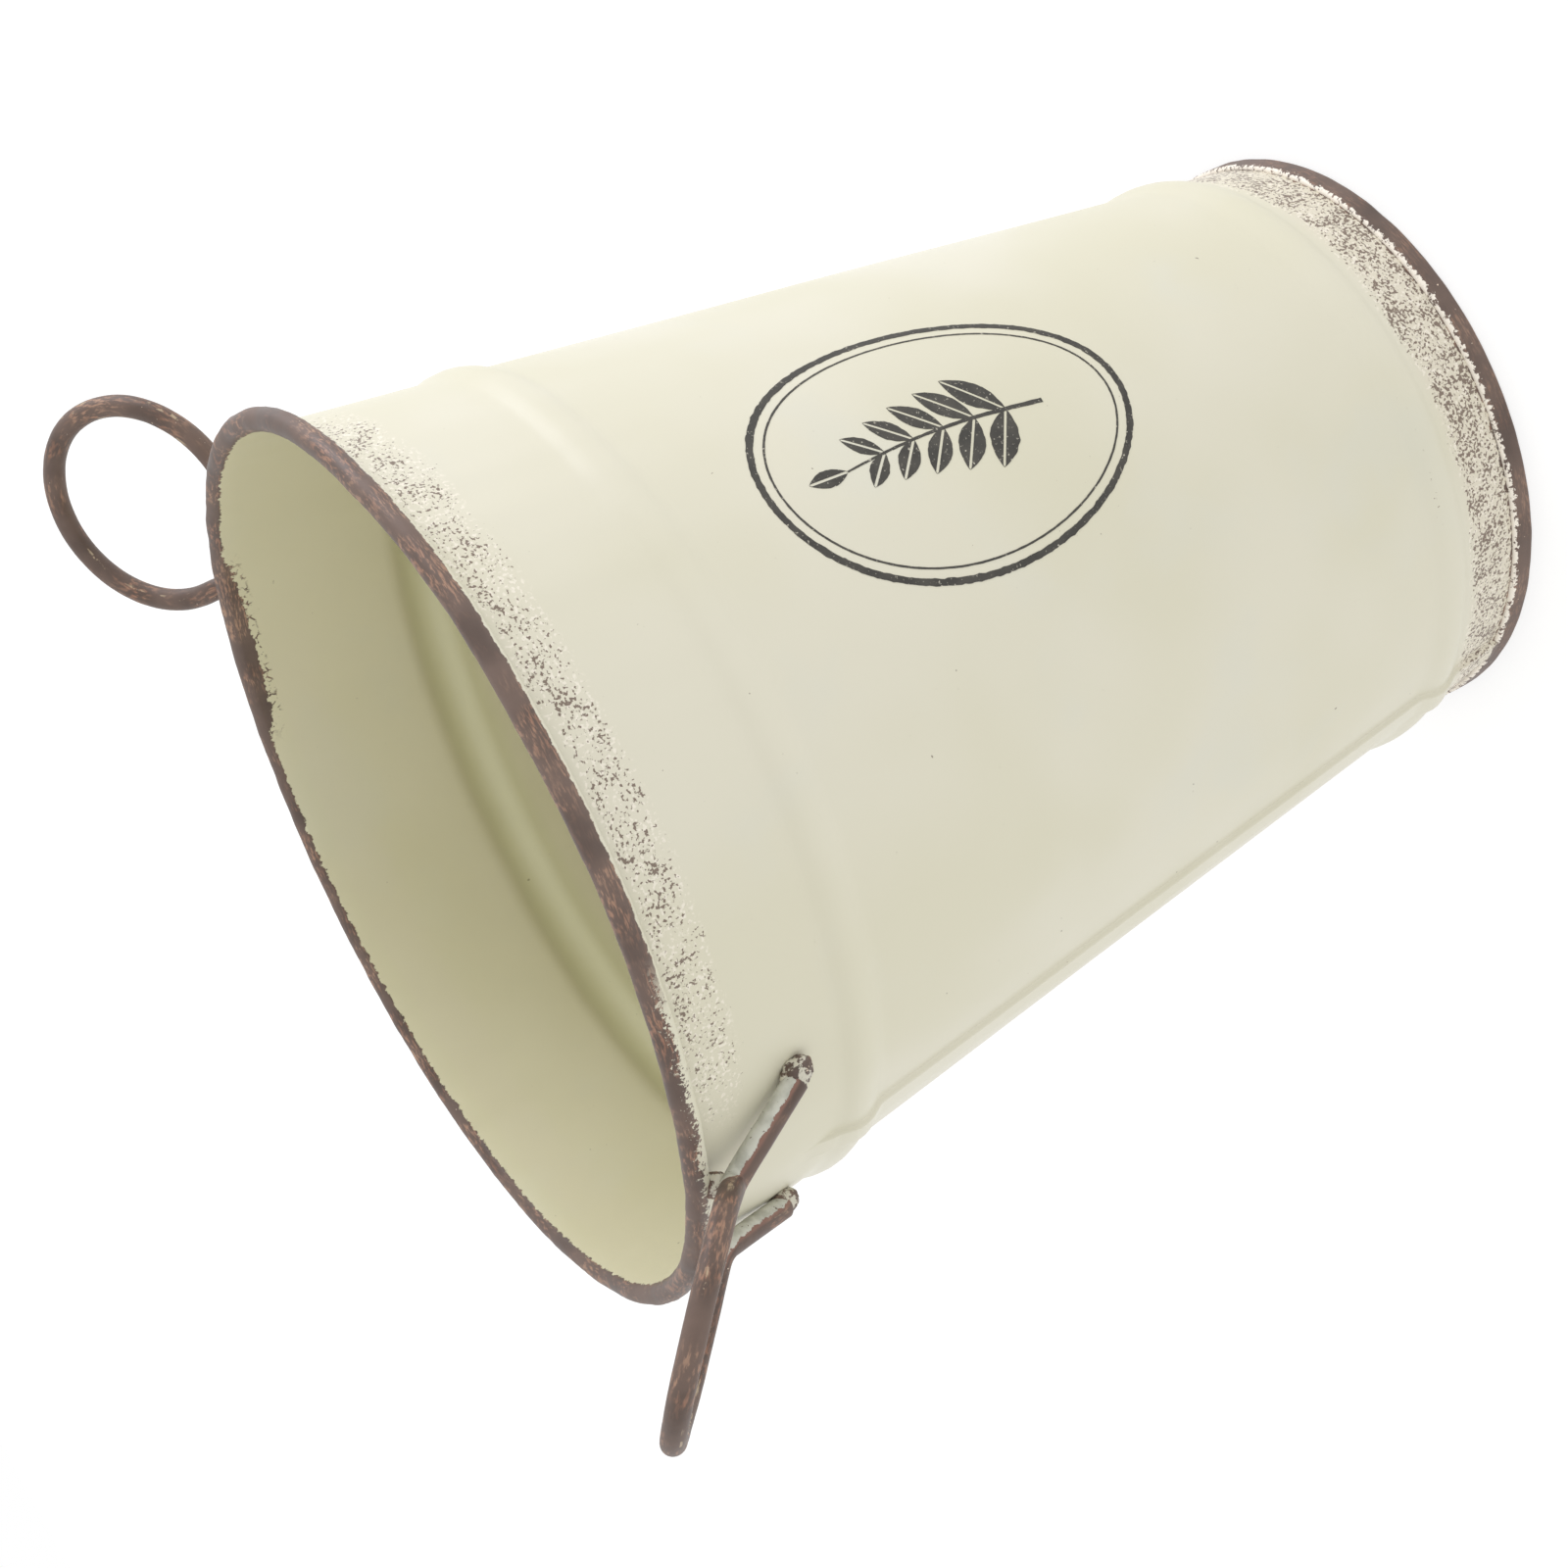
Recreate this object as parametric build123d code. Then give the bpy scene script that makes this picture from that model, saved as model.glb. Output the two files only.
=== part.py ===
from build123d import *
import math
import os

# A painted sheet-steel bucket: tapered body with two pressed ribs, wired rim, seamed base and two
# fixed wire loop handles. Millimetres, +Z up. The origin is on the floor, under the centre of the
# base. The handles lie on the X axis, left at -X and right at +X, and -Y is the front.

# ---- Driving dimensions ----
rim_outer_d = 160.0      # over the wired rim
base_outer_d = 107.6     # over the seam round the base
bucket_h = 191.5         # floor to the top of the rim
sheet_t = 0.5            # sheet steel of the body and the base
fit_gap = 0.05           # clearance between pieces that are rolled, pressed or soldered together

rim_wire_d = 2.8         # hoop inside the curl of the rim
curl_turn = 290.0        # degrees that the top edge is curled round the hoop

seam_h = 4.2             # height of the rolled seam at the foot
seam_proud = 1.55        # how far the seam stands out from the wall
base_recess = 3.2        # floor to the underside of the bottom disc

lower_rib_z = 20.0       # middle of the lower rib
upper_rib_z = 156.0      # middle of the upper rib
rib_w = 11.0             # width of a rib along the wall
rib_h = 1.3              # how far a rib is pressed out

lock_seam_w = 5.5        # side seam that closes the rolled sheet
lock_seam_t = 0.9        # how far its folds stand out from the wall
lock_seam_top_z = 165.0  # the folds are hammered flat above this
lock_seam_azimuth = 174.0

handle_wire_d = 4.0
loop_r = 19.2            # centre line of the loop
elbow_half = 11.0        # half the distance between the two elbows
elbow_bend_r = 3.0
neck_run = 4.5           # straight wire between the corner of an elbow and the loop
leg_splay = 20.0         # half the distance between the two feet, round the wall
leg_drop = 15.4          # from between the elbows down to the feet

foot_weld_r = 2.8
rim_weld_hold = 1.5      # how far a solder fillet reaches round the wire and the rim
rim_weld_gap = 2.0       # an elbow further than this from the rim is left unsoldered

# The left handle hangs close under the rim. The right one is pulled outward and twisted further, so
# that one elbow has risen beside the rim and the other stands clear of it.
# name: azimuth, lift of the loop above horizontal, twist of the loop about its own length, and how
# far the middle of the elbows is outside and below the middle of the rim bead
HANDLES = {
    "left": (180.6, 45.4, -2.8, 1.0, 4.6),
    "right": (1.0, 32.7, 16.8, 5.1, 3.35),
}

# ---- Values that follow from them ----
bead_r = rim_wire_d / 2 + fit_gap + sheet_t
bead_centre_r = rim_outer_d / 2 - bead_r
bead_centre_z = bucket_h - bead_r
curl_r = bead_r - sheet_t / 2
handle_wire_r = handle_wire_d / 2
loop_reach = math.sqrt(loop_r ** 2 + neck_run ** 2 - elbow_half ** 2)

# The middle of the wall's sheet is a straight line, tangent to the curl at the top.
floor_r = base_outer_d / 2 - seam_proud - sheet_t / 2
to_bead = Vector(bead_centre_r - floor_r, bead_centre_z)
wall_angle = math.degrees(math.atan2(to_bead.Y, to_bead.X) + math.asin(curl_r / to_bead.length))
wall_lean = 90 - wall_angle
half_sheet_across = sheet_t / 2 / math.cos(math.radians(wall_lean))


def wall_r(z):
    """Radius of the middle of the wall's sheet at a height, leaving out the ribs."""
    return floor_r + z * math.tan(math.radians(wall_lean))


def wall_outer_r(z):
    return wall_r(z) + half_sheet_across


def along_wall(z):
    """Distance along the slanting wall from the floor to a height."""
    return z / math.sin(math.radians(wall_angle))


# ---- Sheet-metal profiles ----
def compass(angle, length=1.0):
    return Vector(math.cos(math.radians(angle)), math.sin(math.radians(angle))) * length


def follow(start, heading, moves):
    """Lines and bends of a folded sheet: (length,) goes straight, (radius, turn) bends, left is +."""
    stations = []
    here = Vector(*start)
    for move in moves:
        if len(move) == 1:
            there = here + compass(heading, move[0])
            stations.append([(here, heading), (there, heading)])
        else:
            radius, turn = move
            side = math.copysign(90, turn)
            centre = here + compass(heading + side, radius)
            swept = [(centre + compass(heading + turn * part - side, radius), heading + turn * part)
                     for part in (0, 0.5, 1)]
            stations.append(swept)
            there = swept[-1][0]
            heading += turn
        here = there
    return stations


def sheet_face(stations, left, right):
    """Closed outline of a folded sheet that reaches left and right of the line it follows."""
    def side_edges(offset):
        edges = []
        for samples in stations:
            points = [point + compass(heading + 90, offset) for point, heading in samples]
            edges.append(Line(*points) if len(points) == 2 else ThreePointArc(*points))
        return edges

    left_edges, right_edges = side_edges(left), side_edges(-right)
    caps = [Line(left_edges[0] @ 0, right_edges[0] @ 0), Line(left_edges[-1] @ 1, right_edges[-1] @ 1)]
    return Plane.XZ * make_face(left_edges + right_edges + caps)


def spin(face, arc=360.0):
    """Turn a profile about +Z, from the front at -Y for a full turn, or centred on +X for less."""
    start = -90.0 if arc == 360.0 else -arc / 2
    return Rot(0, 0, start) * revolve(face, axis=Axis.Z, revolution_arc=arc)


# A rib is three equal arcs: out, over the crest and back.
rib_turn = 2 * math.degrees(math.atan(2 * rib_h / rib_w))
rib_bend_r = rib_w / (4 * math.sin(math.radians(rib_turn)))
rib_moves = [(rib_bend_r, -rib_turn), (rib_bend_r, 2 * rib_turn), (rib_bend_r, -rib_turn)]


def wall_moves(low, high):
    """The wall from one slanting distance to another, over the ribs that lie between."""
    moves = []
    for rib_z in (lower_rib_z, upper_rib_z):
        rib_start = along_wall(rib_z) - rib_w / 2
        if low < rib_start and rib_start + rib_w < high:
            moves += [(rib_start - low,)] + rib_moves
            low = rib_start + rib_w
    return moves + [(high - low,)]


# ---- Wall: rolled sheet with ribs, flange at the foot and curl at the rim ----
flange_z = sheet_t * 1.5 + fit_gap
flange_end_r = base_outer_d / 2 - sheet_t * 1.5
flange_bend_r = sheet_t
flange_bend_turn = 180 - wall_angle
flange_trim = flange_bend_r * math.tan(math.radians(flange_bend_turn / 2))
wall_top = math.sqrt(to_bead.length ** 2 - curl_r ** 2)

wall_path = follow(
    (flange_end_r, flange_z), 180.0,
    [(flange_end_r - wall_r(flange_z) - flange_trim,), (flange_bend_r, -flange_bend_turn)]
    + wall_moves(along_wall(flange_z) + flange_trim, wall_top)
    + [(curl_r, -curl_turn)])
wall_sheet = spin(sheet_face(wall_path, sheet_t / 2, sheet_t / 2))

# The side seam is a strip of even width that climbs over both ribs.
lock_foot = along_wall(seam_h + sheet_t)
lock_path = follow(
    (wall_r(seam_h + sheet_t), seam_h + sheet_t), wall_angle,
    wall_moves(lock_foot, along_wall(lock_seam_top_z)))
lock_sweep = 16.0
lock_strip = spin(sheet_face(lock_path, 0, sheet_t / 2 + lock_seam_t), lock_sweep)
lock_strip = lock_strip & Box(2 * rim_outer_d, lock_seam_w, 2 * bucket_h)
wall_sheet = wall_sheet + Rot(0, 0, lock_seam_azimuth) * lock_strip

# ---- Hoop inside the curl ----
rim_wire = Pos(0, 0, bead_centre_z) * Torus(bead_centre_r, rim_wire_d / 2)

# ---- Base: recessed disc, turned down inside the wall and rolled up round the flange ----
base_bend_r = sheet_t
inner_leg_r = wall_r(flange_z) - sheet_t - fit_gap
outer_leg_r = base_outer_d / 2 - sheet_t / 2
disc_z = base_recess + sheet_t / 2
seam_top_z = seam_h - sheet_t / 2
fold_end_r = wall_outer_r(seam_h) + fit_gap
fold_bend_r = 0.6 * (outer_leg_r - fold_end_r)

base_path = follow(
    (0, disc_z), 0.0,
    [(inner_leg_r - base_bend_r,), (base_bend_r, -90.0),
     (disc_z - sheet_t / 2 - 2 * base_bend_r,), (base_bend_r, 90.0),
     (outer_leg_r - inner_leg_r - 2 * base_bend_r,), (base_bend_r, 90.0),
     (seam_top_z - sheet_t / 2 - base_bend_r - fold_bend_r,), (fold_bend_r, 90.0),
     (outer_leg_r - fold_bend_r - fold_end_r,)])
base_plate = spin(sheet_face(base_path, sheet_t / 2, sheet_t / 2))


# ---- Handles: one bent wire each ----
def round_the_wall(azimuth, radius, z):
    return Vector(radius, 0, z).rotate(Axis.Z, azimuth)


def handle_points(azimuth, lift, twist, out, drop):
    """Corners of the bent wire for each side, and the tip of the loop, all on its centre line."""
    outward = round_the_wall(azimuth, 1, 0)
    along = outward * math.cos(math.radians(lift)) + Vector(0, 0, math.sin(math.radians(lift)))
    level = round_the_wall(azimuth + 90, 1, 0)
    across = (level * math.cos(math.radians(twist))
              + along.cross(level) * math.sin(math.radians(twist)))
    neck = outward * (bead_centre_r + out) + Vector(0, 0, bead_centre_z - drop)
    centre = neck + along * loop_reach

    flare = math.atan2(loop_r, neck_run) - math.atan2(elbow_half, loop_reach)
    foot_z = neck.Z - leg_drop
    foot_r = wall_outer_r(foot_z) + (handle_wire_r + fit_gap) / math.cos(math.radians(wall_lean))

    sides = []
    for side in (1, -1):
        elbow = neck + across * (side * elbow_half)
        loop_end = elbow + (along * math.cos(flare) + across * (side * math.sin(flare))) * neck_run
        foot = round_the_wall(azimuth + side * math.degrees(leg_splay / foot_r), foot_r, foot_z)
        sides.append((loop_end, elbow, foot))
    return sides, centre + along * loop_r


def bent_wire(bend, radius):
    """The handle's wire, or with a larger radius the space that it needs."""
    ((end_a, elbow_a, foot_a), (end_b, elbow_b, foot_b)), tip = handle_points(*bend)
    path = Wire(
        FilletPolyline(foot_a, elbow_a, end_a, radius=elbow_bend_r).edges()
        + ThreePointArc(end_a, tip, end_b).edges()
        + FilletPolyline(end_b, elbow_b, foot_b, radius=elbow_bend_r).edges())
    return sweep(Plane(origin=foot_a, z_dir=elbow_a - foot_a) * Circle(radius), path=path)


# The welds fill what is left between the wire, the wall and the rim.
bead_envelope = Pos(0, 0, bead_centre_z) * Torus(bead_centre_r, bead_r + fit_gap)


def clear_of_wall(blob, azimuth, z):
    """What is left of a blob outside the flat that touches the wall along one line."""
    lean = math.radians(wall_lean)
    wall_normal = round_the_wall(azimuth, math.cos(lean), -math.sin(lean))
    touching = round_the_wall(azimuth, wall_outer_r(z), z)
    wall_face = Plane(origin=touching + wall_normal * fit_gap, z_dir=wall_normal)
    return split(blob, bisect_by=wall_face, keep=Keep.TOP)


def foot_welds(sides):
    """A bead round each leg's tip, flat where it meets the wall."""
    blobs = []
    for _, elbow, foot in sides:
        along_leg = (foot - elbow).normalized()
        blob = Pos(foot + along_leg * (foot_weld_r / 4)) * Sphere(foot_weld_r)
        leg_space = Plane(origin=foot + along_leg * fit_gap, z_dir=-along_leg) * Cylinder(
            handle_wire_r + fit_gap, 2 * foot_weld_r, align=(Align.CENTER, Align.CENTER, Align.MIN))
        blobs.append(clear_of_wall(blob - leg_space, math.degrees(math.atan2(foot.Y, foot.X)), foot.Z))
    return blobs


def rim_welds(sides, wire_space):
    """Solder between the rim and each elbow that is near enough to it."""
    blobs = []
    for _, elbow, _ in sides:
        azimuth = math.degrees(math.atan2(elbow.Y, elbow.X))
        bead_middle = round_the_wall(azimuth, bead_centre_r, bead_centre_z)
        towards = elbow - bead_middle
        open_gap = towards.length - handle_wire_r - bead_r
        if open_gap > rim_weld_gap:
            continue
        between = bead_middle + towards.normalized() * (bead_r + open_gap / 2)
        blob = Pos(between) * Sphere(open_gap / 2 + rim_weld_hold)
        blobs.append(clear_of_wall(blob, azimuth, between.Z) - wire_space - bead_envelope)
    return blobs


def largest(shape):
    """A cut can leave crumbs beside the piece that is wanted."""
    return max(shape.solids(), key=lambda solid: solid.volume)


nodes = {"wall_sheet": wall_sheet, "rim_wire": rim_wire, "base_plate": base_plate}
for name, bend in HANDLES.items():
    wire_space = bent_wire(bend, handle_wire_r + fit_gap)
    sides = handle_points(*bend)[0]
    nodes[f"handle_{name}"] = bent_wire(bend, handle_wire_r)
    nodes[f"{name}_foot_welds"] = Compound([largest(blob) for blob in foot_welds(sides)])
    nodes[f"{name}_rim_welds"] = Compound([largest(blob) for blob in rim_welds(sides, wire_space)])

os.makedirs("parts", exist_ok=True)
for name, shape in nodes.items():
    export_step(shape, f"parts/{name}.step")
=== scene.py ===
import math

import bmesh
import bpy
from mathutils import Matrix, Vector, noise


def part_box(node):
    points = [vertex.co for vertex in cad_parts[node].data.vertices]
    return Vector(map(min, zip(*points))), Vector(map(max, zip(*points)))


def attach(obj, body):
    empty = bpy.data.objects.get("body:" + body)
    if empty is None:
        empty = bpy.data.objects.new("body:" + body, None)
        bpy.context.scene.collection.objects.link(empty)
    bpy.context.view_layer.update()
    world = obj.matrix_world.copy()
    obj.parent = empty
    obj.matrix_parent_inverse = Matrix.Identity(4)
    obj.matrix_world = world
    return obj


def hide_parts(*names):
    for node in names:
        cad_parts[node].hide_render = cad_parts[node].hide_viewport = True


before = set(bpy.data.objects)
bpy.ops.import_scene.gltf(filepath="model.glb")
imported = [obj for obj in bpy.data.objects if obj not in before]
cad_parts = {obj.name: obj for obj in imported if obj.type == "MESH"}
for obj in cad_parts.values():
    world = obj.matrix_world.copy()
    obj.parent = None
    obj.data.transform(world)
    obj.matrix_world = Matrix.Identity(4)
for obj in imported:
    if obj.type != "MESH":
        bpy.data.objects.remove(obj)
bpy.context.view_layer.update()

# ---- Studio: a white floor, soft light from the front right, and the camera ----
# The camera looks down on the front left of the bucket, and is rolled so that the mouth points to
# the lower left of the frame.
CAMERA_AIM = Vector((-0.0113, 0.0066, 0.1293))
CAMERA_DISTANCE = 0.4954
CAMERA_AZIMUTH = 239.69
CAMERA_ELEVATION = 21.44
CAMERA_ROLL = -116.63
CAMERA_LENS = 66.46


def on_sphere(azimuth, elevation, distance):
    """A place round the bucket: degrees anticlockwise from +X, degrees up, metres away."""
    turn, rise = math.radians(azimuth), math.radians(elevation)
    level = Vector((math.cos(turn), math.sin(turn), 0)) * math.cos(rise)
    return (level + Vector((0, 0, math.sin(rise)))) * distance


def look_at(item, place, aim, roll=0.0):
    facing = (place - aim).to_track_quat("Z", "Y").to_matrix().to_4x4()
    item.matrix_world = Matrix.Translation(place) @ facing @ Matrix.Rotation(math.radians(roll), 4, "Z")


camera = bpy.data.objects.new("camera", bpy.data.cameras.new("camera"))
camera.data.lens = CAMERA_LENS
camera.data.clip_start = 0.01
bpy.context.scene.collection.objects.link(camera)
camera_place = CAMERA_AIM + on_sphere(CAMERA_AZIMUTH, CAMERA_ELEVATION, CAMERA_DISTANCE)
look_at(camera, camera_place, CAMERA_AIM, CAMERA_ROLL)
bpy.context.scene.camera = camera


def soft_light(name, azimuth, elevation, distance, size, watts, colour=(1, 1, 1)):
    lamp = bpy.data.lights.new(name, "AREA")
    lamp.shape = "DISK"
    lamp.size = size
    lamp.energy = watts
    lamp.color = colour
    item = bpy.data.objects.new(name, lamp)
    bpy.context.scene.collection.objects.link(item)
    middle = Vector((0, 0, 0.1))
    look_at(item, middle + on_sphere(azimuth, elevation, distance), middle)


soft_light("key", 332, 12, 1.2, 1.0, 6.4, colour=(0.99, 0.99, 1.08))

world = bpy.data.worlds.new("studio")
world.use_nodes = True
world.node_tree.nodes["Background"].inputs["Color"].default_value = (1, 1, 1, 1)
world.node_tree.nodes["Background"].inputs["Strength"].default_value = 1.0
bpy.context.scene.world = world
bpy.context.scene.view_settings.view_transform = "Standard"


def add(tree, kind, inputs=None, **settings):
    """A shader node. An input is given a value, or the socket that feeds it."""
    made = tree.nodes.new("ShaderNode" + kind)
    for name, value in settings.items():
        setattr(made, name, value)
    for name, value in (inputs or {}).items():
        if isinstance(value, bpy.types.NodeSocket):
            tree.links.new(value, made.inputs[name])
        else:
            made.inputs[name].default_value = value
    return made


def material(name, roughness=0.5):
    """A new material, its node tree and its Principled shader."""
    made = bpy.data.materials.new(name)
    made.use_nodes = True
    shader = made.node_tree.nodes["Principled BSDF"]
    shader.inputs["Roughness"].default_value = roughness
    return made, made.node_tree, shader


def show(name, vertices, faces, finish, smooth=True):
    """A visible mesh in the bucket's own frame."""
    mesh = bpy.data.meshes.new(name)
    mesh.from_pydata(vertices, [], faces)
    mesh.update()
    mesh.materials.append(finish)
    mesh.polygons.foreach_set("use_smooth", [smooth] * len(mesh.polygons))
    item = bpy.data.objects.new(name, mesh)
    bpy.context.scene.collection.objects.link(item)
    return item


FLOOR_HALF = 6.0
floor_paint, floor_tree, floor_shader = material("floor_white", 0.9)
floor_tint = add(floor_tree, "TexNoise", {"Scale": 3.0}).outputs["Fac"]
floor_shade = add(floor_tree, "MapRange", {"Value": floor_tint, "To Min": 0.30, "To Max": 0.33})
floor_tree.links.new(floor_shade.outputs["Result"], floor_shader.inputs["Base Color"])
floor_shader.inputs["Emission Color"].default_value = (1, 1, 1, 1)
floor_shader.inputs["Emission Strength"].default_value = 0.74
floor = show("floor", [(-FLOOR_HALF, -FLOOR_HALF, 0), (FLOOR_HALF, -FLOOR_HALF, 0),
                       (FLOOR_HALF, FLOOR_HALF, 0), (-FLOOR_HALF, FLOOR_HALF, 0)],
             [(0, 1, 2, 3)], floor_paint)


# ---- Wall: one rolled steel sheet, enamelled cream ----
# Two ribs are pressed outward, the side is closed by a folded lock seam, and the top edge is curled
# outward round a hoop. Brown is brushed over the curl and sponged on below it and above the foot.
SHEET = 0.0005
BEAD_R = 0.00195
CURL_R = BEAD_R - SHEET / 2
CURL_TURN = 290.0
RIB_WIDTH = 0.011
RIB_HEIGHT = 0.0013
RIB_HEIGHTS = (0.020, 0.156)
SEAM_PROUD = 0.00155
LOCK_WIDTH = 0.0055
LOCK_PROUD = 0.0009
LOCK_TOP = 0.165
LOCK_AZIMUTH = math.radians(174)
WALL_FOOT_SHARE = 0.4  # the wall's lower edge, as a share of the foot seam's height
ROW_STEP = 0.003
WALL_COLUMNS = 384
LOCK_COLUMN_STEP = 0.0024

wall_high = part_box("wall_sheet")[1]
foot_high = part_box("base_plate")[1]
bead_middle = Vector((wall_high[0] - BEAD_R, wall_high[2] - BEAD_R))
foot_r, foot_h = foot_high[0], foot_high[2]
floor_r = foot_r - SEAM_PROUD - SHEET / 2
wall_start = Vector((floor_r, 0))
to_bead = bead_middle - wall_start
wall_angle = math.degrees(math.atan2(to_bead.y, to_bead.x) + math.asin(CURL_R / to_bead.length))
wall_length = math.sqrt(to_bead.length ** 2 - CURL_R ** 2)


def heading(angle, length=1.0):
    return Vector((math.cos(math.radians(angle)), math.sin(math.radians(angle)))) * length


def follow(start, angle, moves, step):
    """Points along a folded sheet with the normal to its left: (length,) or (radius, turn)."""
    line = [(start, heading(angle + 90))]
    for move in moves:
        here = line[-1][0]
        if len(move) == 1:
            count = max(1, math.ceil(move[0] / step))
            line += [(here + heading(angle, move[0] * i / count), heading(angle + 90))
                     for i in range(1, count + 1)]
            continue
        radius, turn = move
        side = math.copysign(90, turn)
        middle = here + heading(angle + side, radius)
        count = max(4, math.ceil(abs(turn) / 12))
        for i in range(1, count + 1):
            now = angle + turn * i / count
            line.append((middle + heading(now - side, radius), heading(now + 90)))
        angle += turn
    return line


def along_wall(z):
    return z / math.sin(math.radians(wall_angle))


rib_turn = 2 * math.degrees(math.atan(2 * RIB_HEIGHT / RIB_WIDTH))
rib_bend = RIB_WIDTH / (4 * math.sin(math.radians(rib_turn)))
lower_end = along_wall(WALL_FOOT_SHARE * foot_h)
wall_moves = []
reached = lower_end
for rib_z in RIB_HEIGHTS:
    rib_start = along_wall(rib_z) - RIB_WIDTH / 2
    wall_moves += [(rib_start - reached,), (rib_bend, -rib_turn), (rib_bend, 2 * rib_turn),
                   (rib_bend, -rib_turn)]
    reached = rib_start + RIB_WIDTH
wall_moves += [(wall_length - reached,), (CURL_R, -CURL_TURN)]
wall_line = follow(wall_start + heading(wall_angle, lower_end), wall_angle, wall_moves, ROW_STEP)


def smooth_step(low, high, value):
    share = min(1.0, max(0.0, (value - low) / (high - low)))
    return share * share * (3 - 2 * share)


SWAY_FROM = 0.12  # height above which the wall starts to follow the rim


def rim_sway(turn):
    """The hand-fed rim isn't a true circle: it wanders, with a few flats and kinks."""
    ring = Vector((math.cos(turn), math.sin(turn), 0))
    return 0.00035 * noise.noise(ring * 2.3) + 0.00022 * noise.noise(ring * 11.0 + Vector((3, 0, 0)))


def wall_unevenness(turn, z):
    """Slow hollows and swells in the thin sheet."""
    place = Vector((math.cos(turn) * 1.6, math.sin(turn) * 1.6, z * 18))
    return 0.00022 * noise.noise(place) * smooth_step(0.0, 0.03, z) * smooth_step(wall_high[2], 0.16, z)


def lock_fold(turn, radius, z):
    """How far the side seam's folds stand out of the wall."""
    off = abs((turn - LOCK_AZIMUTH + math.pi) % (2 * math.pi) - math.pi) * radius
    edge = LOCK_WIDTH / 2 + 0.00015 * noise.noise(Vector((0, 0, z * 60)))
    flat = 1 - smooth_step(LOCK_TOP - 0.004, LOCK_TOP, z)
    return LOCK_PROUD * (1 - smooth_step(edge - 0.00035, edge + 0.00015, off)) * flat


def turns_round(even, dense_at=None, dense_half=0.0, dense_step=0.0):
    """Angles of the columns of a turned mesh, closer together at one place."""
    turns = [2 * math.pi * i / even for i in range(even)]
    if dense_at is not None:
        turns = [t for t in turns if abs(t - dense_at) > dense_half]
        count = round(2 * dense_half / dense_step)
        turns += [dense_at - dense_half + 2 * dense_half * i / count for i in range(count + 1)]
    return sorted(turns)


def turned_sheet(name, line, half, turns, stand_off, finish):
    """A closed sheet turned round +Z from a line. stand_off(turn, r, z, side) adds to each face.
    Each vertex keeps its even radius, height and side, so that paint edges follow the sheet."""
    rows = [(point, normal, side) for side in (-1, 1)
            for point, normal in (line if side < 0 else reversed(line))]
    vertices, faces, sheet_place = [], [], []
    for turn in turns:
        for point, normal, side in rows:
            out = point + normal * side * (half + stand_off(turn, point.x, point.y, side))
            vertices.append((out.x * math.cos(turn), out.x * math.sin(turn), out.y))
            sheet_place += [*(point + normal * side * half), side]
    around, across = len(turns), len(rows)
    for i in range(around):
        here, there = i * across, (i + 1) % around * across
        for j in range(across):
            k = (j + 1) % across
            faces.append((here + j, there + j, there + k, here + k))
    item = show(name, vertices, faces, finish)
    item.data.attributes.new("sheet_place", "FLOAT_VECTOR", "POINT").data.foreach_set("vector", sheet_place)
    return item


def wall_stand_off(turn, radius, z, side):
    """side -1 is the outside of the sheet and +1 the inside."""
    swell = -side * wall_unevenness(turn, z)
    if side < 0:
        swell += lock_fold(turn, radius, z)
    if z > bead_middle.y - 0.004:
        swell += 0.00008 * noise.noise(Vector((math.cos(turn) * 40, math.sin(turn) * 40, z * 500)))
    return swell


def colour(red, green, blue):
    return (red, green, blue, 1.0)


def shader_group(name, inputs, outputs):
    """An empty shader node group with the sockets named, and its two end nodes."""
    group = bpy.data.node_groups.new(name, "ShaderNodeTree")
    for in_out, sockets in (("INPUT", inputs), ("OUTPUT", outputs)):
        for socket, kind in sockets.items():
            group.interface.new_socket(socket, in_out=in_out, socket_type="NodeSocket" + kind)
    return group, group.nodes.new("NodeGroupInput"), group.nodes.new("NodeGroupOutput")


def maths(tree, operation, first, second=0.0):
    made = add(tree, "Math", operation=operation)
    for socket, value in zip(made.inputs, (first, second)):
        if isinstance(value, bpy.types.NodeSocket):
            tree.links.new(value, socket)
        else:
            socket.default_value = value
    return made.outputs[0]


def times(tree, first, *others):
    for other in others:
        first = maths(tree, "MULTIPLY", first, other)
    return first


def plus(tree, first, *others):
    for other in others:
        first = maths(tree, "ADD", first, other)
    return first


def minus(tree, first, second):
    return maths(tree, "SUBTRACT", first, second)


def ramp(tree, value, low, high, start=0.0, end=1.0):
    """value from low to high becomes start to end, smoothly and no further."""
    made = add(tree, "MapRange", {"Value": value, "From Min": low, "From Max": high,
                                  "To Min": start, "To Max": end}, interpolation_type="SMOOTHSTEP")
    return made.outputs["Result"]


def stretched(tree, place, factors):
    """A place multiplied along each axis, so that grain drawn there is longer or shorter."""
    return add(tree, "VectorMath", {0: place, 1: factors}, operation="MULTIPLY").outputs[0]


def grain(tree, place, scale, detail=2.0, rough=0.5):
    """Noise from 0 to 1 with features about 1/scale metres across."""
    made = add(tree, "TexNoise", {"Vector": place, "Scale": scale, "Detail": detail, "Roughness": rough})
    return made.outputs["Fac"]


def blend_colours(tree, share, first, second, how="MIX"):
    made = add(tree, "Mix", data_type="RGBA", blend_type=how)
    for socket, value in ((made.inputs[0], share), (made.inputs[6], first), (made.inputs[7], second)):
        if isinstance(value, bpy.types.NodeSocket):
            tree.links.new(value, socket)
        else:
            socket.default_value = value
    return made.outputs[2]


def blend_values(tree, share, first, second):
    made = add(tree, "Mix", data_type="FLOAT")
    for socket, value in zip((made.inputs[0], made.inputs[2], made.inputs[3]), (share, first, second)):
        tree.links.new(value, socket)
    return made.outputs[0]


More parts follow.
